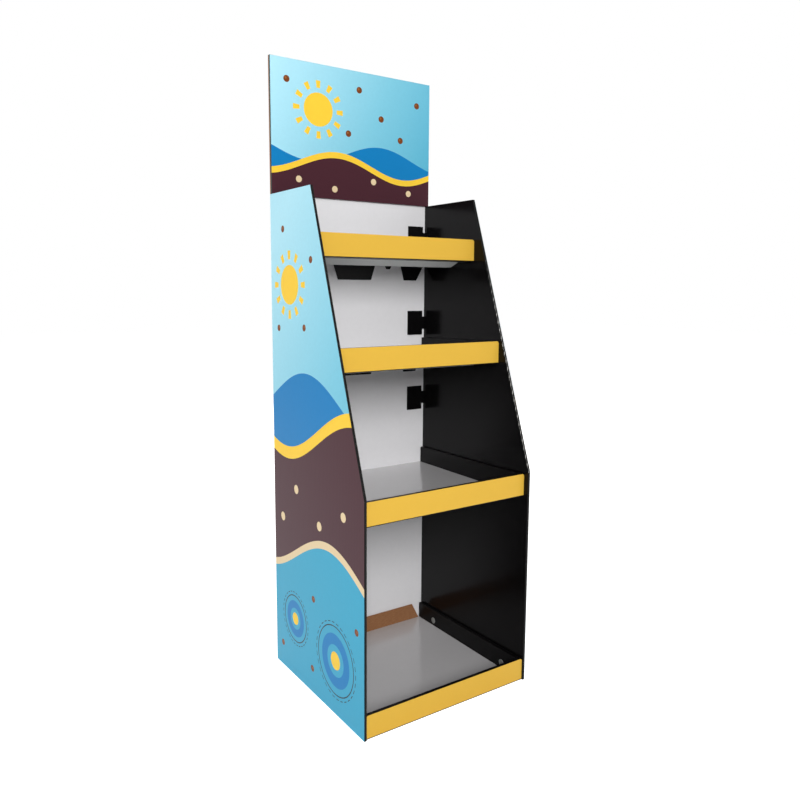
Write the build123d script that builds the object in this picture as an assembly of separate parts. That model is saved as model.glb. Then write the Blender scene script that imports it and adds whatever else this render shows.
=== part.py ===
"""A free-standing cardboard display stand, in millimetres, standing on z = 0.

Two folded side panels stand either side of a white back panel, with a header card above. Four
folded trays sit between the sides: three shelves and one on the ground. Each is a sheet of
corrugated board with a rolled lip in front and a rolled flange at each side. The front is at -Y.
"""

import os

from build123d import *

# Overall sizes
width = 464.0               # over the two side panels
depth = 430.0               # from the back panel's face to the front edges of the sides
height = 1500.0             # to the top of the header card
side_height = 1181.0        # to the flat top of the side panels
side_top_depth = 204.0      # of a side panel, along its flat top
knee_height = 524.0         # where the front edge of a side starts to slope back

# Board
ply = 3.0                   # one thickness of the sides, header and trays
ply_gap = 0.4               # between two plies that are folded flat on each other
back_ply = 4.0              # the back panel's heavier board
fit = 0.3                   # between two pieces where one slides in beside the other
crease_radius = 1.2         # rounding outside a fold
overlap = 1.0               # of two shapes that are joined into one sheet

# Trays
lip_height = 54.0
flange_rear_height = 46.0   # the side flanges fall a little towards the back
rim = 9.0                   # thickness of a rolled lip or flange, hollow inside
lip_corner = 6.0            # rounding of the lip's top corners
top_shelf = side_height - 154.0         # undersides of the three shelves
second_shelf = top_shelf - 250.0
third_shelf = knee_height - 59.0
top_setback = 25.0          # each lip's face lies this far behind the sides' front edge
second_setback = 10.0
third_setback = 14.0
base_setback = 4.0

# Tabs that hang from the back edge of each shelf, against the back panel
tab_drop = 47.0
middle_tab_root = 132.0
middle_tab_tip = 99.0
side_tab_root = 83.0
side_tab_inner_taper = 13.5
side_tab_outer_taper = 30.0
lug_root = 34.0             # small lugs between the tabs
lug_tip = 10.0
lug_drop = 18.0

# Tabs of the side panels, folded on to the back panel's face and glued there
lock_head_height = 66.0
lock_neck_height = 34.0
lock_neck_length = 8.0
lock_reach = 56.0
lock_levels = (top_shelf + 66.0, second_shelf + 87.0, third_shelf + 189.0)

# Hem at the foot of the back panel, folded up in front of it
hem_height = 46.0
hem_root_inset = 11.0
hem_tip_inset = 35.0

# Stiffener: a flat board tube glued under each shelf
stiffener_setback = 63.0    # behind the lip's face
stiffener_top = 86.0
stiffener_bottom = 24.0
stiffener_depth = 13.0

# Snap rivets through the base tray's flanges
rivet_head_radius = 8.5
rivet_head_height = 2.0
rivet_dimple_radius = 3.0
rivet_dimple_depth = 0.8
rivet_shank_radius = 4.0
rivet_rim_rounding = 1.4
rivet_shank_chamfer = 1.0
rivet_rear_inset = 74.0     # from the back panel's face to the rear rivet
rivet_front_inset = 64.0    # from the base lip's face to the front rivet
rivet_level = 18.0

# Places that follow
back_face = (depth - back_ply) / 2
front_edge = back_face - depth
side_thickness = 2 * ply + ply_gap
inner_half = width / 2 - side_thickness
tray_half = inner_half - fit
hem_thickness = back_ply + ply_gap


def front_line(z):
    """Y of the sides' front edge at height z: upright below the knee, then straight to the top."""
    if z <= knee_height:
        return front_edge
    rise = (z - knee_height) / (side_height - knee_height)
    return front_edge + rise * (depth - side_top_depth)


top_lip = front_line(top_shelf + lip_height) + top_setback
second_lip = front_line(second_shelf + lip_height) + second_setback
third_lip = front_line(third_shelf + lip_height) + third_setback
base_lip = front_line(lip_height) + base_setback


def plate_across(points, x_start, thickness):
    """An upright plate across X: its outline is (y, z) points."""
    face = make_face(Plane.YZ * Polyline(*points, close=True))
    return Pos(x_start, 0, 0) * extrude(face, amount=thickness, dir=(1, 0, 0))


def plate_facing(points, y_start, thickness):
    """An upright plate that faces the front: its outline is (x, z) points."""
    face = make_face(Plane.XZ * Polyline(*points, close=True))
    return Pos(0, y_start, 0) * extrude(face, amount=thickness, dir=(0, 1, 0))


def box(x_range, y_range, z_range):
    """A box between two X, two Y and two Z places."""
    sizes = [high - low for low, high in (x_range, y_range, z_range)]
    middles = [(high + low) / 2 for low, high in (x_range, y_range, z_range)]
    return Pos(*middles) * Box(*sizes)


def rivet_places():
    """(y, z) of the rivets on one side."""
    return [(back_face - rivet_rear_inset, rivet_level), (base_lip + rivet_front_inset, rivet_level)]


def rivet_holes(x_start, x_end):
    """Clearance holes for one side's rivets, from x_start to x_end."""
    holes = []
    for y, z in rivet_places():
        hole = Cylinder(rivet_shank_radius + fit, abs(x_end - x_start), rotation=(0, 90, 0))
        holes.append(Pos((x_start + x_end) / 2, y, z) * hole)
    return holes


def side_outline(y_rear):
    """Outline of a side panel, with its rear edge at y_rear."""
    return [
        (y_rear, 0),
        (front_edge, 0),
        (front_edge, knee_height),
        (back_face - side_top_depth, side_height),
        (y_rear, side_height),
    ]


def lock_tab(level):
    """One T-shaped tab of the left side panel, flat on the back panel's face."""
    root = -inner_half - ply / 2
    shoulder = -inner_half + lock_neck_length
    tip = -inner_half + lock_reach
    y_range = (back_face - ply, back_face)
    neck_z = (level - lock_neck_height / 2, level + lock_neck_height / 2)
    head_z = (level - lock_head_height / 2, level + lock_head_height / 2)
    neck = box((root, shoulder + overlap), y_range, neck_z)
    head = box((shoulder, tip), y_range, head_z)
    head = fillet(head.edges().filter_by(Axis.Y), crease_radius)
    return neck + head


def left_side_panel():
    """One sheet: two plies joined by a fold down the upright front edge, and three lock tabs."""
    outside = -width / 2
    outer = plate_across(side_outline(back_face + back_ply), outside, ply)
    inner = plate_across(side_outline(back_face), -inner_half - ply, ply)
    fold = box((outside, -inner_half), (front_edge, front_edge + ply), (0, knee_height))
    fold_edges = fold.edges().filter_by(Axis.Z).group_by(Axis.Y)[0]
    corners = fillet(fold_edges, crease_radius)
    trim = fold - corners
    panel = outer + inner + fold - trim
    for level in lock_levels:
        panel += lock_tab(level)
    for hole in rivet_holes(-inner_half - ply, -inner_half):
        panel -= hole
    return panel


def back_panel():
    """The white back: wide behind the header, narrow between the sides, with a hem at its foot."""
    half = width / 2
    narrow = half - ply - fit
    outline = [
        (-narrow, 0),
        (narrow, 0),
        (narrow, side_height),
        (half, side_height),
        (half, height),
        (-half, height),
        (-half, side_height),
        (-narrow, side_height),
    ]
    panel = plate_facing(outline, back_face, back_ply)
    root = inner_half - hem_root_inset
    tip = inner_half - hem_tip_inset
    hem_outline = [(-root, 0), (root, 0), (tip, hem_height), (-tip, hem_height)]
    hem = plate_facing(hem_outline, back_face - hem_thickness, back_ply)
    turn = box((-root + ply, root - ply), (back_face - hem_thickness, back_face + back_ply), (0, back_ply))
    return panel + hem + turn


def header_card():
    """One sheet folded double along its top edge, glued to the back panel's face."""
    half = width / 2
    rear = back_face
    front = rear - side_thickness
    card = box((-half, half), (front, rear), (side_height, height))
    card = fillet(card.edges().filter_by(Axis.X).group_by(Axis.Z)[-1], crease_radius)
    slot = box((-half, half), (front + ply, rear - ply), (side_height, height - ply))
    return card - slot


def rolled_flange(lip_face, level, rear):
    """The left flange of a tray as a hollow roll, its top falling towards the back."""
    reach = rear - lip_face
    fall = (lip_height - flange_rear_height) / reach
    front_top = level + lip_height
    outline = [(lip_face, level), (rear, level), (rear, level + flange_rear_height), (lip_face, front_top)]
    flange = plate_across(outline, -tray_half, rim)
    upper = [edge for edge in flange.edges() if edge.center().Z > level + ply]
    long_top = [edge for edge in upper if edge.length > reach / 2]
    flange = fillet(long_top, crease_radius)
    start = lip_face + ply
    hollow = [
        (start, level + ply),
        (rear + overlap, level + ply),
        (rear + overlap, level + flange_rear_height - ply - fall),
        (start, front_top - ply - fall * ply),
    ]
    return flange, plate_across(hollow, -tray_half + ply, rim - 2 * ply)


def tray(lip_face, level, floor_rear):
    """One folded sheet: floor, rolled front lip and two rolled side flanges."""
    flange_rear = back_face - ply - fit
    top = level + lip_height
    lip = box((-tray_half, tray_half), (lip_face, lip_face + rim), (level, top))
    lip = fillet(lip.edges().filter_by(Axis.Y).group_by(Axis.Z)[-1], lip_corner)
    flange, hollow = rolled_flange(lip_face + crease_radius, level, flange_rear)
    floor = box((-tray_half, tray_half), (lip_face + ply, floor_rear), (level, level + ply))
    lip_hollow = box(
        (-tray_half + ply, tray_half - ply),
        (lip_face + ply, lip_face + rim - ply),
        (level + ply, top - lip_corner - ply),
    )
    sheet = lip + floor + flange + mirror(flange, Plane.YZ)
    return sheet - hollow - mirror(hollow, Plane.YZ) - lip_hollow


def rear_tabs(level):
    """Three tapered tabs folded down from a shelf's rear edge, with a small lug between each two."""
    low = level - tab_drop
    high = level + ply
    y_start = back_face - fit - ply
    middle = [
        (-middle_tab_root / 2, high),
        (middle_tab_root / 2, high),
        (middle_tab_tip / 2, low),
        (-middle_tab_tip / 2, low),
    ]
    inner = tray_half - side_tab_root
    side = [
        (inner, high),
        (tray_half, high),
        (tray_half - side_tab_outer_taper, low),
        (inner + side_tab_inner_taper, low),
    ]
    between = (middle_tab_root / 2 + inner) / 2
    lug = [
        (between - lug_root / 2, high),
        (between + lug_root / 2, high),
        (between + lug_tip / 2, level - lug_drop),
        (between - lug_tip / 2, level - lug_drop),
    ]
    right = plate_facing(side, y_start, ply) + plate_facing(lug, y_start, ply)
    return plate_facing(middle, y_start, ply) + right + mirror(right, Plane.YZ)


def shelf_tray(lip_face, level):
    """A tray with tabs at the back."""
    return tray(lip_face, level, back_face - fit) + rear_tabs(level)


def base_tray():
    """The tray on the ground, behind which the back panel's hem stands."""
    sheet = tray(base_lip, 0, back_face - hem_thickness - fit)
    for hole in rivet_holes(-tray_half, -tray_half + rim) + rivet_holes(tray_half - rim, tray_half):
        sheet -= hole
    return sheet


def stiffener(lip_face, level):
    """A tapered tube of board, flat against the shelf above it and open at both ends."""
    front = lip_face + stiffener_setback
    slope = (stiffener_top - stiffener_bottom) / 2
    low = level - stiffener_depth
    outside = [
        (front, level),
        (front + stiffener_top, level),
        (front + stiffener_top - slope, low),
        (front + slope, low),
    ]
    wall = ply / 2
    run = slope / stiffener_depth
    cut = wall * (1 + run * run) ** 0.5 + wall * run
    inside = [
        (front + cut, level - wall),
        (front + stiffener_top - cut, level - wall),
        (front + stiffener_top - slope - wall / run, low + wall),
        (front + slope + wall / run, low + wall),
    ]
    length = 2 * tray_half
    return plate_across(outside, -tray_half, length) - plate_across(inside, -tray_half, length)


def rivet():
    """A snap rivet along +X: a domed head with a dimple, and a shank with a tapered end."""
    shank_length = rim + fit + ply
    head = Cylinder(rivet_head_radius, rivet_head_height, rotation=(0, 90, 0))
    head = fillet(head.edges().group_by(Axis.X)[0], rivet_rim_rounding)
    head = Pos(-rivet_head_height / 2, 0, 0) * head
    dimple = Cylinder(rivet_dimple_radius, 2 * rivet_dimple_depth, rotation=(0, 90, 0))
    shank = Cylinder(rivet_shank_radius, shank_length, rotation=(0, 90, 0))
    shank = chamfer(shank.edges().group_by(Axis.X)[-1], rivet_shank_chamfer)
    return head - Pos(-rivet_head_height, 0, 0) * dimple + Pos(shank_length / 2, 0, 0) * shank


def snap_rivets():
    """Two rivets in each side, their heads on the inner faces of the base tray's flanges."""
    seat = tray_half - rim
    right = [Pos(seat, y, z) * rivet() for y, z in rivet_places()]
    left = [mirror(one, Plane.YZ) for one in right]
    return Compound(right + left)


left = left_side_panel()
parts = {
    "left_side_panel": left,
    "right_side_panel": mirror(left, Plane.YZ),
    "back_panel": back_panel(),
    "header_card": header_card(),
    "top_shelf_tray": shelf_tray(top_lip, top_shelf),
    "second_shelf_tray": shelf_tray(second_lip, second_shelf),
    "third_shelf_tray": shelf_tray(third_lip, third_shelf),
    "base_tray": base_tray(),
    "top_shelf_stiffener": stiffener(top_lip, top_shelf),
    "second_shelf_stiffener": stiffener(second_lip, second_shelf),
    "third_shelf_stiffener": stiffener(third_lip, third_shelf),
    "snap_rivets": snap_rivets(),
}

os.makedirs("parts", exist_ok=True)
for name, shape in parts.items():
    export_step(shape, f"parts/{name}.step")
    bounds = shape.bounding_box()
    volume = round(shape.volume / 1000, 1)
    print(name, len(shape.solids()), "solid(s)", volume, "cm3", bounds.min, bounds.max)
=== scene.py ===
# %% [markdown]
# # A cardboard display stand
# A shop stand of corrugated board: two folded sides, a back, a header card and four trays. The
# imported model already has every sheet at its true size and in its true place. What it lacks is what
# board looks like, which is print, gloss, raw cut edges and the little rivets. Each of those gets a
# step of its own here. Everything is in metres, with the floor at z = 0 and the front at -Y.

import bpy
import numpy as np
from mathutils import Matrix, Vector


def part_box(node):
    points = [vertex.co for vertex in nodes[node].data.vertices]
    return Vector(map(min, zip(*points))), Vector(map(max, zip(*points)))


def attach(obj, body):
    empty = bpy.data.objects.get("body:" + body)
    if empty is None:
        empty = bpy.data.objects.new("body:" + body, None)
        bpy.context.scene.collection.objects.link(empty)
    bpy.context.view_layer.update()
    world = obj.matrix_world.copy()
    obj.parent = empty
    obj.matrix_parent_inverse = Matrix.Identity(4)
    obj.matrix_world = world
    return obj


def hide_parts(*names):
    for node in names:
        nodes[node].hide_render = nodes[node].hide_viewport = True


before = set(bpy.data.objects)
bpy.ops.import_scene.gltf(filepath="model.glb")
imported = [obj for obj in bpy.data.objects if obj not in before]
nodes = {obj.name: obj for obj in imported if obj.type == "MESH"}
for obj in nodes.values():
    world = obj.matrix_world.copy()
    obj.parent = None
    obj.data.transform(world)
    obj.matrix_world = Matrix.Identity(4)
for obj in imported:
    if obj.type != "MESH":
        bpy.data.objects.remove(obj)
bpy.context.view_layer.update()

mm = 0.001
print("nodes:", ", ".join(sorted(nodes)))

# %% [markdown]
# ## Places that the finishes need
# A finish on a folded sheet changes at its folds: print outside, black inside, raw board on a cut.
# The boxes of the nodes give most of those places. Only the slope of the sides is listed,
# because no box shows where it starts and ends.

# %% Places of faces and edges
side_low, side_high = (np.array(corner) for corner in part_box("right_side_panel"))
back_high = np.array(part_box("back_panel")[1])
header_low, header_high = (np.array(corner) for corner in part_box("header_card"))
half_width = side_high[0]
side_front, side_rear, side_top = side_low[1], side_high[1], side_high[2]
knee_height = 524 * mm          # where the front edge starts to slope back
slope_top = 9 * mm              # the slope's upper end, measured along Y
ply = 3 * mm                    # one thickness of board
ply_gap = 0.4 * mm              # between two plies folded flat on each other
back_ply = 4 * mm               # the back's heavier board
back_face = back_high[1] - back_ply
hair = 0.1 * mm                 # a margin for telling one face from the next
print("sides stand", round(side_top, 4), "tall, the slope starts at", knee_height)

# %% [markdown]
# ## Colour and nodes
# Screen colours are written in sRGB, but a renderer adds and multiplies light, so its colours are
# linear. One function turns a hex colour linear. A second adds a shader node: a number, colour or
# vector sets a socket, and another node or socket is linked to it. Every material below is built
# with these two. The other helpers start a material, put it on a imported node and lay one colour
# over another.

# %% Helpers for materials
def linear(code):
    """An sRGB hex colour as linear RGBA: below 0.04045 a channel is divided by 12.92, and above it
    0.055 is added, the sum divided by 1.055 and raised to the power 2.4."""
    c = np.array([int(code[i:i + 2], 16) for i in (1, 3, 5)]) / 255
    c = np.where(c <= 0.04045, c / 12.92, ((c + 0.055) / 1.055) ** 2.4)
    return (*c.tolist(), 1.0)


def add(tree, kind, inputs=(), **settings):
    """Adds a node of a kind, sets its properties, and sets or links the sockets in inputs."""
    made = tree.nodes.new("ShaderNode" + kind)
    for name, value in settings.items():
        setattr(made, name, value)
    for socket, value in dict(inputs).items():
        if isinstance(value, bpy.types.Node):
            value = value.outputs[0]
        if isinstance(value, bpy.types.NodeSocket):
            tree.links.new(value, made.inputs[socket])
        else:
            made.inputs[socket].default_value = value
    return made


def start(name, **sockets):
    """A new material, its node tree, its shader with these sockets set, and the Object place."""
    made = bpy.data.materials.new(name)
    made.use_nodes = True
    tree = made.node_tree
    shader = tree.nodes["Principled BSDF"]
    for socket, value in sockets.items():
        shader.inputs[socket.replace("_", " ")].default_value = value
    coordinates = add(tree, "TexCoord")
    return made, tree, shader, coordinates


def cover(name, material):
    """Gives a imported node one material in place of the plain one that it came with."""
    nodes[name].data.materials.clear()
    nodes[name].data.materials.append(material)


def every(tree, *masks):
    """1 where each of the masks is 1: the least of them."""
    least = masks[0]
    for mask in masks[1:]:
        least = add(tree, "Math", {0: least, 1: mask}, operation="MINIMUM")
    return least


def lay(tree, under, ink, where):
    """Lays an ink or a paper over what is under it, where a mask is 1."""
    made = add(tree, "Mix", {0: where, 6: under, 7: ink}, data_type="RGBA")
    return made.outputs[2]


# %% [markdown]
# ## How board moves under its print
# Liner paper is glued to the tips of a wavy middle sheet, so it sags a few hundredths of a
# millimetre between the tips. The eye reads that washboard as fine upright ripples in every
# reflection. It could be cut into the mesh, but at 6.4 mm a wave a bump is lighter and enough.
# The paper itself adds a faint mottle, because its fibres take ink and light unevenly.

# %% Washboard and mottle
flute_pitch = 6.4 * mm          # one wave of the middle sheet
washboard_depth = 0.035 * mm    # how far the liner sags between two tips
wave_period = 2 * np.pi / 20    # the Wave Texture's bands repeat after this much at scale 1


def washboard(tree, coordinates, axis, depth=washboard_depth):
    """A bump that ripples along one axis once per flute: a sine of that coordinate."""
    ripple = add(tree, "TexWave", {"Vector": coordinates.outputs["Object"],
                                   "Scale": wave_period / flute_pitch},
                 wave_type="BANDS", bands_direction=axis, wave_profile="SIN")
    return add(tree, "Bump", {"Height": ripple.outputs["Fac"], "Distance": depth, "Strength": 1.0})


def mottle(tree, coordinates, colour, share=0.03, size=9 * mm):
    """Darkens a colour by up to a share, in soft spots of about this size."""
    spots = add(tree, "TexNoise", {"Vector": coordinates.outputs["Object"], "Scale": 1 / size,
                                   "Detail": 3.0, "Roughness": 0.6})
    light = add(tree, "MapRange", {"Value": spots.outputs[0], "From Min": 0.3, "From Max": 0.7,
                                   "To Min": 1 - share, "To Max": 1.0})
    made = add(tree, "Mix", {0: 1.0, 6: colour, 7: light}, data_type="RGBA",
               blend_type="MULTIPLY")
    return made.outputs[2]


# %% [markdown]
# ## Inks
# The stand carries a few flat inks: a sky blue that deepens downwards, maroon, yellow, a strong
# blue, cream, brown and near-black. They are named once, so the header and the sides match.

# %% Ink and paper colours
sky_light, sky_middle, sky_deep = linear("#B8ECFB"), linear("#82CDE3"), linear("#3DA9CB")
maroon, yellow, strong_blue = linear("#45202A"), linear("#FFD23F"), linear("#0F7FBF")
cream, brown, line_black = linear("#EBD3A9"), linear("#7A3F1A"), linear("#1B1E27")
# The lips' yellow is the print's yellow darkened: painted shade of the lips' faces.
shaded_lip_yellow = linear("#E3B645")
black_paper = linear("#0C0B0C")
cut_grey = linear("#343936")      # of the header's upright cuts
cut_black = linear("#171717")     # of the sides' cuts, inked by their laminate
print("maroon in linear light:", [round(channel, 3) for channel in maroon[:3]])

# %% [markdown]
# ## The print
# The artwork is plain shapes: rolling hills, a sun with rays, rings and scattered crumbs. Ink has no
# thickness worth modelling, so each shape is a mask worked out from the place on the board, and the
# inks are laid one over another as a press does it. Formulas keep the edges crisp at any distance,
# which a picture of fixed size would not.

# %% Shapes for the print
def below_hill(tree, u, v, level, swell, length, shift):
    """1 below a hill line: v is less than level plus swell times the sine of u over its length."""
    turn = add(tree, "Math", {0: u, 1: 2 * np.pi / length, 2: shift}, operation="MULTIPLY_ADD")
    rise = add(tree, "Math", {0: turn}, operation="SINE")
    line = add(tree, "Math", {0: rise, 1: swell, 2: level}, operation="MULTIPLY_ADD")
    return add(tree, "Math", {0: v, 1: line}, operation="LESS_THAN")


def ring(tree, plane, centre, middle, half):
    """1 where the distance to a centre is within half of the middle radius; a disc if they match."""
    away = add(tree, "VectorMath", {0: plane, 1: (*centre, 0.0)}, operation="DISTANCE")
    return add(tree, "Math", {0: away.outputs["Value"], 1: middle, 2: half}, operation="COMPARE")


def spokes(tree, plane, centre, count, share):
    """1 on evenly spaced spokes: the cosine of count times the angle is above a threshold."""
    arm = add(tree, "VectorMath", {0: plane, 1: (*centre, 0.0)}, operation="SUBTRACT")
    parts = add(tree, "SeparateXYZ", {0: arm})
    angle = add(tree, "Math", {0: parts.outputs[1], 1: parts.outputs[0]}, operation="ARCTAN2")
    turned = add(tree, "Math", {0: angle, 1: float(count)}, operation="MULTIPLY")
    wave = add(tree, "Math", {0: turned}, operation="COSINE")
    return add(tree, "Math", {0: wave, 1: np.cos(np.pi * share)}, operation="GREATER_THAN")


def sun(tree, plane, colour, centre, radius):
    """A yellow disc with twelve rays, laid over a colour."""
    colour = lay(tree, colour, yellow, ring(tree, plane, centre, 0.0, radius))
    rays = every(tree, ring(tree, plane, centre, 1.5 * radius, 0.22 * radius),
                 spokes(tree, plane, centre, 12, 0.36))
    return lay(tree, colour, yellow, rays)


def crumbs(tree, plane, colour, places, radius=8 * mm):
    """Brown crumbs, each a small disc with a lighter spot set a little up and to one side."""
    for place in places:
        colour = lay(tree, colour, brown, ring(tree, plane, place, 0.0, radius))
        spot = (place[0] - radius / 4, place[1] + radius / 4)
        colour = lay(tree, colour, linear("#A0622F"), ring(tree, plane, spot, 0.0, radius / 3))
    return colour


# %% [markdown]
# ## Printed and laminated side board
# Each side is litho-laminated board: a coated paper printed in blue is glued outside, and a glossy
# black paper inside. The sheet is folded double, so one sheet shows blue, black and, along the
# slope and the top, its raw cut. One material tells them apart by the place and by the way a face
# looks, which keeps the sheet one piece. The coating gives a soft sheen outside and a blurred
# mirror inside.

# %% Material of the side panels
def sky(tree, v, bottom, top, across, front, rear, swing=0.2):
    """The blue ground: a ramp over the height, deepened by a share of the place across."""
    up = add(tree, "MapRange", {"Value": v, "From Min": bottom, "From Max": top})
    over = add(tree, "MapRange", {"Value": across, "From Min": front, "From Max": rear,
                                  "To Min": -swing, "To Max": swing})
    both = add(tree, "Math", {0: up, 1: over}, operation="ADD", use_clamp=True)
    ramp = add(tree, "ValToRGB", {0: both})
    low, high = ramp.color_ramp.elements
    low.color, high.color = sky_deep, sky_light
    middle = ramp.color_ramp.elements.new(0.5)
    middle.color = sky_middle
    return ramp.outputs["Color"]


laminate_roughness, print_roughness = 0.17, 0.36    # inside and outside
side_board, tree, shader, coordinates = start(
    "litho_laminated_side_board", Roughness=0.3, Specular_IOR_Level=0.13)
place = add(tree, "SeparateXYZ", {0: coordinates.outputs["Object"]})
facing = add(tree, "SeparateXYZ", {0: coordinates.outputs["Normal"]})
across, up = place.outputs["Y"], place.outputs["Z"]
plane = add(tree, "CombineXYZ", {0: across, 1: up})

ink = sky(tree, up, 0.0, side_top * 1.1, across, side_front, side_rear)
ink = sun(tree, plane, ink, (0.118, 0.965), 0.046)
ink = crumbs(tree, plane, ink, [(0.178, 0.862), (0.045, 0.868), (0.010, 1.020), (0.150, 1.095)])
wave = {"swell": 0.062, "length": 0.66}
for colour, level, shift in ((strong_blue, 0.702, 1.2), (yellow, 0.640, 3.3), (maroon, 0.610, 3.3),
                             (cream, 0.330, 2.2), (sky_deep, 0.312, 2.2)):
    hill = below_hill(tree, across, up, level, shift=shift, **wave)
    ink = lay(tree, ink, colour, hill)
for centre, radius in (((-0.092, 0.128), 0.080), ((0.108, 0.150), 0.058)):
    outline = ring(tree, plane, centre, radius, 1.3 * mm)
    dashes = every(tree, ring(tree, plane, centre, radius + 9 * mm, 1.0 * mm),
                   spokes(tree, plane, centre, 30, 0.6))
    ink = lay(tree, ink, line_black, outline)
    ink = lay(tree, ink, line_black, dashes)
    ink = lay(tree, ink, strong_blue, ring(tree, plane, centre, radius * 0.62, radius * 0.16))
    ink = lay(tree, ink, yellow, ring(tree, plane, centre, 0.0, radius * 0.26))
ink = crumbs(tree, plane, ink, [(0.012, 0.235), (0.020, 0.060), (0.180, 0.060), (-0.185, 0.232)])
for centre in ((-0.130, 0.470), (-0.020, 0.420), (0.095, 0.480), (0.170, 0.395)):
    ink = lay(tree, ink, cream, ring(tree, plane, centre, 0.0, 11 * mm))
ink = mottle(tree, coordinates, ink)

beside = add(tree, "Math", {0: place.outputs["X"]}, operation="ABSOLUTE")
outside = add(tree, "Math", {0: beside, 1: half_width - hair}, operation="GREATER_THAN")
raw_part = add(tree, "Math", {0: up, 1: knee_height + 1 * mm}, operation="GREATER_THAN")
upward = add(tree, "Math", {0: facing.outputs["Z"], 1: 0.2}, operation="GREATER_THAN")
backward = add(tree, "Math", {0: facing.outputs["Y"], 1: 0.7}, operation="GREATER_THAN")
past_back = add(tree, "Math", {0: across, 1: back_face - hair}, operation="GREATER_THAN")
paper = lay(tree, black_paper, cut_black, every(tree, raw_part, upward))
paper = lay(tree, paper, cut_black, every(tree, backward, past_back))
paper = lay(tree, paper, ink, outside)
gloss = add(tree, "MapRange", {"Value": outside, "To Min": laminate_roughness,
                               "To Max": print_roughness})
tree.links.new(paper, shader.inputs["Base Color"])
tree.links.new(gloss.outputs[0], shader.inputs["Roughness"])
tree.links.new(washboard(tree, coordinates, "Y").outputs[0], shader.inputs["Normal"])
cover("left_side_panel", side_board)
cover("right_side_panel", side_board)
print("side board:", len(tree.nodes), "nodes")

# %% [markdown]
# ## Printed header board
# The header is the same printed paper on a card folded double. Its artwork repeats the sun and the
# hills of the sides, so the whole stand reads as one print. The fold runs along its top, so the
# print goes over it, and only the two upright edges show a dark cut.

# %% Material of the header card
header_board, tree, shader, coordinates = start(
    "litho_laminated_header_board", Roughness=print_roughness, Specular_IOR_Level=0.13)
place = add(tree, "SeparateXYZ", {0: coordinates.outputs["Object"]})
across, up = place.outputs["X"], place.outputs["Z"]
plane = add(tree, "CombineXYZ", {0: across, 1: up})
ink = sky(tree, up, header_low[2] - 0.60, header_high[2] + 0.45, across, half_width, -half_width,
          swing=0.34)
ink = sun(tree, plane, ink, (-0.105, 1.392), 0.040)
ink = crumbs(tree, plane, ink, [(0.012, 1.455), (0.078, 1.392), (0.190, 1.440), (-0.190, 1.452),
                                (0.138, 1.345), (-0.020, 1.345)])
wave = {"swell": 0.026, "length": 0.40}
for colour, level, shift in ((strong_blue, 1.294, 0.4), (yellow, 1.270, 2.4), (maroon, 1.255, 2.4)):
    hill = below_hill(tree, across, up, level, shift=shift, **wave)
    ink = lay(tree, ink, colour, hill)
for centre in ((-0.160, 1.222), (-0.060, 1.205), (0.055, 1.232), (0.165, 1.210)):
    ink = lay(tree, ink, cream, ring(tree, plane, centre, 0.0, 8 * mm))
ink = mottle(tree, coordinates, ink)
beside = add(tree, "Math", {0: place.outputs["X"]}, operation="ABSOLUTE")
inward = add(tree, "Math", {0: beside, 1: half_width - hair}, operation="LESS_THAN")
paper = lay(tree, cut_grey, ink, inward)
tree.links.new(paper, shader.inputs["Base Color"])
tree.links.new(washboard(tree, coordinates, "X").outputs[0], shader.inputs["Normal"])
cover("header_card", header_board)
print("header board:", len(tree.nodes), "nodes")

# %% [markdown]
# ## White-faced kraft board
# The back is board with a smooth white coated liner in front. Its reverse is plain kraft, the brown
# unbleached paper of any shipping box, which shows behind and on the hem, where the foot is folded
# up in front. Kraft is matt and streaked, because its long fibres lie along the machine's run.

# %% Kraft paper and the back panel
def kraft(tree, coordinates):
    """Brown with streaks 12 mm long and 1 mm wide, drawn coarser than true fibres so they show."""
    stretched = add(tree, "Mapping", {"Vector": coordinates.outputs["Object"],
                                      "Scale": (1 / (12 * mm), 1 / (1.5 * mm), 1 / (1.0 * mm))})
    fibres = add(tree, "TexNoise", {"Vector": stretched, "Scale": 1.0, "Detail": 4.0})
    ramp = add(tree, "ValToRGB", {0: fibres.outputs[0]})
    dark, light = ramp.color_ramp.elements
    dark.position, light.position = 0.3, 0.7
    dark.color, light.color = linear("#8A5C3A"), linear("#A3734D")
    return ramp.outputs["Color"]


kraft_roughness, white_roughness = 0.75, 0.34
white_board, tree, shader, coordinates = start(
    "white_coated_kraft_board", Roughness=0.38, Specular_IOR_Level=0.35)
place = add(tree, "SeparateXYZ", {0: coordinates.outputs["Object"]})
facing = add(tree, "SeparateXYZ", {0: coordinates.outputs["Normal"]})
forward = add(tree, "Math", {0: facing.outputs["Y"], 1: -0.7}, operation="LESS_THAN")
on_face = add(tree, "Math", {0: place.outputs["Y"], 1: back_face - hair}, operation="GREATER_THAN")
white_side = every(tree, forward, on_face)
white = mottle(tree, coordinates, linear("#EFEEF0"), share=0.02, size=14 * mm)
paper = lay(tree, kraft(tree, coordinates), white, white_side)
gloss = add(tree, "MapRange", {"Value": white_side, "To Min": kraft_roughness,
                               "To Max": white_roughness})
tree.links.new(paper, shader.inputs["Base Color"])
tree.links.new(gloss.outputs[0], shader.inputs["Roughness"])
tree.links.new(washboard(tree, coordinates, "X", 0.05 * mm).outputs[0], shader.inputs["Normal"])
cover("back_panel", white_board)
print("back board:", len(tree.nodes), "nodes")

# %% [markdown]
# ## Tray board
# A tray is one sheet: white and glossy above, black below. Its front edge is rolled over into a lip
# printed yellow, and its side edges into black flanges. The lip's yellow is the print's yellow
# darkened, which is painted shade on the lip's face. The roll brings the black face up over the
# lip, which is the thin black line along each lip's top. Each tray's finish needs its own front and
# level, so a function builds the four.

# %% Materials of the trays
floor_top = 3 * mm              # of a tray's floor, over its underside
bare_fold = 1.8 * mm            # the print stops this far over the fold under the lip
shelf_tab_drop = 47 * mm        # of the tabs that hang from the back of a shelf


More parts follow.
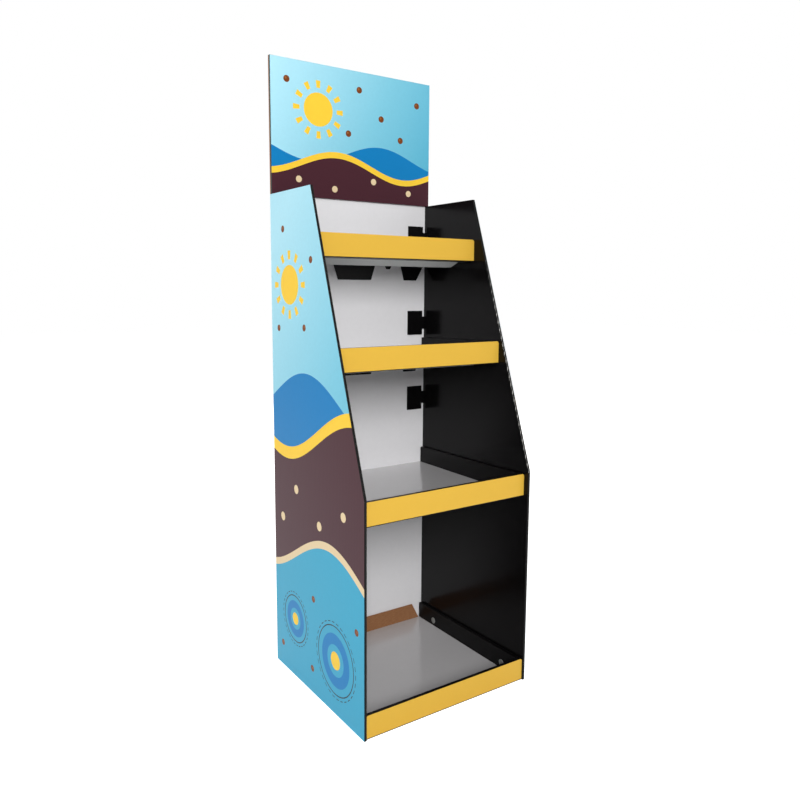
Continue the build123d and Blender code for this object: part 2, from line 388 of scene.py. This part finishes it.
def tray_board(name, tab_drop):
    """White on the floor's top, yellow darkened as painted shade on the lip's face and black
    elsewhere, for one tray.
    """
    low, high = (np.array(corner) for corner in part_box(name))
    level, front = low[2] + tab_drop, low[1]
    made, tree, shader, coordinates = start(
        name.replace("tray", "board"), Roughness=0.3, Specular_IOR_Level=0.12,
        Coat_Roughness=0.14)
    place = add(tree, "SeparateXYZ", {0: coordinates.outputs["Object"]})
    facing = add(tree, "SeparateXYZ", {0: coordinates.outputs["Normal"]})
    upward = add(tree, "Math", {0: facing.outputs["Z"], 1: 0.7}, operation="GREATER_THAN")
    on_floor = add(tree, "Math", {0: place.outputs["Z"], 1: level + floor_top, 2: 1 * mm},
                   operation="COMPARE")
    forward = add(tree, "Math", {0: facing.outputs["Y"], 1: -0.7}, operation="LESS_THAN")
    on_front = add(tree, "Math", {0: place.outputs["Y"], 1: front, 2: 1 * mm},
                   operation="COMPARE")
    over_fold = add(tree, "Math", {0: place.outputs["Z"], 1: level + bare_fold},
                    operation="GREATER_THAN")
    white = mottle(tree, coordinates, linear("#D3D1D2"), share=0.02, size=14 * mm)
    # The lip's yellow, darkened as painted shade, with a faint mottle.
    shaded_lip_print = mottle(tree, coordinates, shaded_lip_yellow, share=0.012)
    on_lip = every(tree, forward, on_front, over_fold)
    varnished = every(tree, upward, on_floor)
    paper = lay(tree, black_paper, white, varnished)
    paper = lay(tree, paper, shaded_lip_print, on_lip)
    tree.links.new(paper, shader.inputs["Base Color"])
    tree.links.new(varnished.outputs[0], shader.inputs["Coat Weight"])
    tree.links.new(washboard(tree, coordinates, "X").outputs[0], shader.inputs["Normal"])
    cover(name, made)
    print(name, "underside at", round(level, 4), "and front at", round(front, 4))


for name in ("top_shelf_tray", "second_shelf_tray", "third_shelf_tray"):
    tray_board(name, shelf_tab_drop)
tray_board("base_tray", 0.0)

# %% [markdown]
# ## Stiffeners
# Under each shelf a flat tube of white board takes the load. It is uncoated test liner, so it is
# duller than the back, and a touch grey.

# %% Material of the stiffeners
stiffener_board, tree, shader, coordinates = start(
    "white_test_liner_board", Roughness=0.6, Specular_IOR_Level=0.3)
tree.links.new(mottle(tree, coordinates, linear("#E4E7E5"), share=0.05, size=5 * mm),
               shader.inputs["Base Color"])
tree.links.new(washboard(tree, coordinates, "X").outputs[0], shader.inputs["Normal"])
for name in ("top_shelf_stiffener", "second_shelf_stiffener", "third_shelf_stiffener"):
    cover(name, stiffener_board)
    print(name, "is covered in", stiffener_board.name)

# %% [markdown]
# ## Making a mesh
# Every new piece is a closed tube: a small outline carried along a path. All its points are worked
# out at once as an array of path points by outline points, then joined into four-sided faces, and
# the two ends are capped.

# %% A tube from a grid of points
def tube(grid, offset):
    """Faces of a closed tube over a grid of rings by ring points, with flat caps on its ends. The
    points are numbered from the offset."""
    rings, around = grid.shape[:2]
    i, j = np.meshgrid(np.arange(rings - 1), np.arange(around), indexing="ij")
    k = (j + 1) % around
    sides = np.stack([i * around + j, i * around + k, (i + 1) * around + k, (i + 1) * around + j],
                     axis=-1).reshape(-1, 4) + offset
    caps = [list(range(offset + around - 1, offset - 1, -1)),
            list(range(offset + (rings - 1) * around, offset + rings * around))]
    return sides.tolist() + caps


def piece(name, grids, material, smooth=False):
    """One object from one or more grids, on the root body, with faces that look outwards."""
    points, faces, count = [], [], 0
    for grid in grids:
        faces += tube(grid, count)
        points.append(grid.reshape(-1, 3))
        count += points[-1].shape[0]
    mesh = bpy.data.meshes.new(name)
    mesh.from_pydata(np.concatenate(points).tolist(), [], faces)
    mesh.validate()
    mesh.polygons.foreach_set("use_smooth", np.full(len(mesh.polygons), smooth))
    mesh.materials.append(material)
    made = bpy.data.objects.new(name, mesh)
    bpy.context.scene.collection.objects.link(made)
    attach(made, "root")
    print(name, "has", len(mesh.vertices), "points and", len(mesh.polygons), "faces")
    return made


# %% [markdown]
# ## Raw corrugated edges
# Where board is cut across, its wavy middle sheet shows between two liners. The flutes run upright,
# so a level cut shows the true 6.4 mm wave, and a cut that leans 19 degrees from upright stretches
# each wave to about 20 mm. That is the chain of light dashes along the slope of each side. The
# wave could be painted, but real paper stands a little proud of a crushed cut, so it is modelled:
# a thin strip that swings between the liners, carried along the edge.

# %% Strips of the middle sheet and the liners
paper_thickness = 0.45 * mm     # of a strip, drawn a little thicker than true paper
proud = 0.3 * mm                # how far the strips stand out of the cut
wave_steps = 12                 # points in one wave


def strip(start_point, end_point, sideways, out, swing, period, widen=0.0,
          paper=paper_thickness):
    """A strip along an edge: its middle line swings sideways by a sine of the run, and a small
    rectangle, as thick as paper and a little proud, is carried along it square to that line. Where
    the line swings one way, the rectangle widens with the cosine of the run."""
    start_point, end_point = np.array(start_point), np.array(end_point)
    length = np.linalg.norm(end_point - start_point)
    ahead = (end_point - start_point) / length
    steps = max(2, int(np.ceil(length / period * wave_steps)) + 1) if swing else 2
    run = np.linspace(0, length, steps)
    turn = 2 * np.pi * run / period
    lean = swing * 2 * np.pi / period * np.cos(turn)
    middle = start_point + run[:, None] * ahead + (swing * np.sin(turn))[:, None] * sideways
    square = (sideways - lean[:, None] * ahead) / np.sqrt(1 + lean ** 2)[:, None]
    across = square * (paper / 2 * (1 + widen * np.maximum(0, np.cos(turn))))[:, None]
    rise, sink = out * proud, -out * proud
    return np.stack([middle - across + sink, middle + across + sink, middle + across + rise,
                     middle - across + rise], axis=1)


def board_edge(start_point, end_point, sideways, out, thickness, lean, liners=True, **wave):
    """The wave, and both liners if wanted, of one thickness of board about a line."""
    sideways, out = np.array(sideways, float), np.array(out, float)
    period = flute_pitch / lean
    liner = (thickness - paper_thickness) / 2
    swing = liner - paper_thickness
    made = [strip(start_point, end_point, sideways, out, swing, period, **wave)]
    for side in (-liner, liner) if liners else ():
        made.append(strip(np.array(start_point) + side * sideways,
                          np.array(end_point) + side * sideways, sideways, out, 0.0, period))
    return made


# %% [markdown]
# ### Paper of the cut edges
# The middle sheet is recycled fluting paper, matt and greyish. Most cuts have taken up black from
# their laminate, so they read darker. Only the right side's inner ply is pale, in its lower part.

# %% Fluting paper in three shades
def fluting_paper(name, code, inked=None):
    """Matt recycled paper with coarse flecks about 3 mm across. If two heights are given, black
    takes over from the first of them to the second."""
    made, tree, shader, coordinates = start(name, Roughness=0.85, Specular_IOR_Level=0.2)
    paper = mottle(tree, coordinates, linear(code), share=0.35, size=3 * mm)
    if inked:
        place = add(tree, "SeparateXYZ", {0: coordinates.outputs["Object"]})
        share = add(tree, "MapRange", {"Value": place.outputs["Z"], "From Min": inked[0],
                                       "From Max": inked[1]})
        paper = lay(tree, paper, cut_black, share)
    tree.links.new(paper, shader.inputs["Base Color"])
    return made


light_fluting = fluting_paper("recycled_fluting_paper", "#E2E0DC", inked=(0.88, 1.04))
dark_fluting = fluting_paper("blackened_fluting_paper", "#2A2A29")
kraft_fluting = fluting_paper("kraft_fluting_paper", "#8F6A48")
print("fluting papers:", light_fluting.name, dark_fluting.name, kraft_fluting.name)

# %% [markdown]
# ### Where the strips go
# On a slanted cut each flute opens towards the front, so one of its walls catches the light and the
# other hides. The lit wall is drawn wider, which gives the broken, chain-like line of a real cut.

# %% Edges of the sides
hidden_wall = 0.15 * mm         # of the wall that hides
lit_wall = 9.0                  # how much wider, at most, the lit one is
slope_run = np.array([slope_top - side_front, side_top - knee_height])
slope_run = slope_run / np.linalg.norm(slope_run)
slope_lean = float(slope_run[0])        # sine of the slope's angle from upright
slope_out = (0.0, -slope_run[1], slope_run[0])
print("slope leans", round(float(np.degrees(np.arcsin(slope_lean))), 1), "degrees")
for sign, name, papers in ((-1, "left_side", (dark_fluting, dark_fluting)),
                           (1, "right_side", (dark_fluting, light_fluting))):
    for index, which in enumerate(("_outer", "_inner")):
        x = sign * (half_width - ply / 2 - index * (ply + ply_gap))
        rear = side_rear - index * (side_rear - back_face)
        strips = board_edge((x, side_front, knee_height), (x, slope_top, side_top),
                            (1, 0, 0), slope_out, ply, slope_lean, liners=False,
                            widen=lit_wall, paper=hidden_wall)
        strips += board_edge((x, slope_top, side_top), (x, rear, side_top),
                             (1, 0, 0), (0, 0, 1), ply, 1.0, liners=False)
        piece(name + which + "_cut_edge", strips, papers[index])

# %% Top edge of the back
y = (back_face + back_high[1]) / 2
strips = board_edge((-half_width, y, back_high[2]), (half_width, y, back_high[2]),
                    (0, 1, 0), (0, 0, 1), back_ply, 1.0)
piece("back_cut_edge", strips, kraft_fluting)

# %% [markdown]
# ## Snap rivets
# Four push rivets hold the base tray to the sides. Each is moulded polypropylene: a low domed head
# with a rounded rim, and a pin pressed into its middle, which leaves a small ring. A rivet is a
# shape of turning, so its outline is carried round its axis. Polypropylene is waxy and lets a
# little light in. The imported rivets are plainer, so these stand in for them.

# %% Rivets
polypropylene, tree, shader, coordinates = start(
    "moulded_grey_polypropylene", Roughness=0.38, Specular_IOR_Level=0.5, IOR=1.49,
    Subsurface_Weight=0.05)
tree.links.new(mottle(tree, coordinates, linear("#8F8F8C"), share=0.06, size=2 * mm),
               shader.inputs["Base Color"])

tray_low, tray_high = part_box("base_tray")
rim = 9 * mm                    # thickness of a tray's rolled lip or flange
flange_face = tray_high[0] - rim
rivet_level = 18 * mm
rear_rivet = back_face - 74 * mm
front_rivet = tray_low[1] + 64 * mm
rivet_places = ((rear_rivet, rivet_level), (front_rivet, rivet_level))
# Radius and height over the flange, in millimetres, from the buried end of the shank to the dome
rivet_outline = np.array([(3.0, -8.0), (4.0, -7.4), (4.0, -0.2), (8.0, 0.0), (8.4, 0.35),
                          (8.5, 0.8), (8.2, 1.3), (7.4, 1.6), (4.9, 1.95), (4.2, 2.0),
                          (3.9, 1.7), (3.5, 1.7), (3.3, 1.95), (1.6, 2.0), (0.2, 2.0)]) * mm
angle = np.linspace(0, 2 * np.pi, 40, endpoint=False)


def rivet(sign, y, z):
    """An outline turned about a line along X: radius times the cosine and sine of the angle."""
    radius, height = rivet_outline[:, :1], rivet_outline[:, 1:]
    x = sign * (flange_face - height) + 0 * angle
    return np.stack([x, y + sign * radius * np.cos(angle), z - radius * np.sin(angle)], axis=-1)


rivets = piece("snap_rivet_heads", [rivet(sign, *spot) for sign in (-1, 1) for spot in rivet_places],
               polypropylene, smooth=True)
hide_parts("snap_rivets")

# %% [markdown]
# ## Floor, light and camera
# A plain studio: a wide pale floor, soft light from a white surround, a large lamp in front to the
# left, and weaker ones at both sides and behind. The floor and the surround look pure white to the
# camera and in reflections, while the light that they send stays at a plain level, so colours keep
# as written and the floor still holds the stand's shadow.

# %% Floor
def seen(tree):
    """1 for a ray that the camera sees the background by: straight, mirrored or through."""
    path = add(tree, "LightPath")
    shiny = add(tree, "Math", {0: path.outputs["Is Glossy Ray"],
                               1: path.outputs["Is Transmission Ray"]}, operation="MAXIMUM")
    return add(tree, "Math", {0: path.outputs["Is Camera Ray"], 1: shiny}, operation="MAXIMUM")


corner = 15.0                   # half the floor's width
mesh = bpy.data.meshes.new("floor")
mesh.from_pydata([(-corner, -corner, 0), (corner, -corner, 0), (corner, corner, 0),
                  (-corner, corner, 0)], [], [(0, 1, 2, 3)])
floor = bpy.data.objects.new("floor", mesh)
bpy.context.scene.collection.objects.link(floor)
pale = bpy.data.materials.new("pale_studio_floor")
pale.use_nodes = True
tree = pale.node_tree
tree.nodes.clear()
matt = add(tree, "BsdfDiffuse", {"Color": linear("#E6E6E6")})
glow = add(tree, "Emission", {"Color": (1, 1, 1, 1), "Strength": 0.78})
lifted = add(tree, "AddShader", {0: matt, 1: glow})
chosen = add(tree, "MixShader", {0: seen(tree), 1: matt, 2: lifted})
add(tree, "OutputMaterial", {"Surface": chosen})
mesh.materials.append(pale)

# %% Surround
world = bpy.data.worlds.new("studio_surround")
bpy.context.scene.world = world
world.use_nodes = True
tree = world.node_tree
tree.nodes.clear()
soft = add(tree, "Background", {"Color": (1, 1, 1, 1), "Strength": 0.28})
white = add(tree, "Background", {"Color": (1, 1, 1, 1), "Strength": 1.0})
chosen = add(tree, "MixShader", {0: seen(tree), 1: soft, 2: white})
add(tree, "OutputWorld", {"Surface": chosen})

# %% Lamps
def lamp(name, place, target, size, watts):
    """A square soft lamp at a place, turned to face a target."""
    light = bpy.data.lights.new(name, "AREA")
    light.shape = "SQUARE"
    light.size = size
    light.energy = watts
    made = bpy.data.objects.new(name, light)
    away = np.array(place) - np.array(target)
    back = away / np.linalg.norm(away)
    right = np.cross((0, 0, 1), back)
    right = right / np.linalg.norm(right)
    turned = np.eye(4)
    turned[:3, :3] = np.stack([right, np.cross(back, right), back], axis=1)
    turned[:3, 3] = place
    made.matrix_world = Matrix(turned.tolist())
    bpy.context.scene.collection.objects.link(made)
    print(name, "is", round(float(np.linalg.norm(away)), 2), "m away")


lamp("key_lamp", (-1.5, -3.3, 2.1), (0, 0, 0.7), 1.4, 106)
lamp("left_lamp", (-3.6, 0.3, 1.7), (0, 0, 0.8), 1.8, 38)
lamp("right_lamp", (3.6, 0.3, 1.7), (0, 0, 0.8), 1.8, 50)
lamp("rear_lamp", (1.2, 3.8, 1.9), (0, 0, 0.8), 1.8, 76)

# %% Camera
eye_place = (-0.9952, -1.4672, 0.9584)
look_azimuth, look_down, roll = np.radians([34.19, 7.37, 0.34])
camera = bpy.data.cameras.new("camera")
camera.sensor_width = 36
camera.lens = 33.27             # in millimetres, for the sensor's width
camera.shift_y = -0.02
eye = bpy.data.objects.new("camera", camera)
eye.matrix_world = (Matrix.Translation(eye_place)
                    @ Matrix.Rotation(-look_azimuth, 4, "Z")
                    @ Matrix.Rotation(np.pi / 2 - look_down, 4, "X")
                    @ Matrix.Rotation(roll, 4, "Z"))
bpy.context.scene.collection.objects.link(eye)
bpy.context.scene.camera = eye
bpy.context.scene.view_settings.view_transform = "Standard"
print("camera", round(float(np.linalg.norm(eye_place)), 2), "m from the origin, lens", camera.lens)
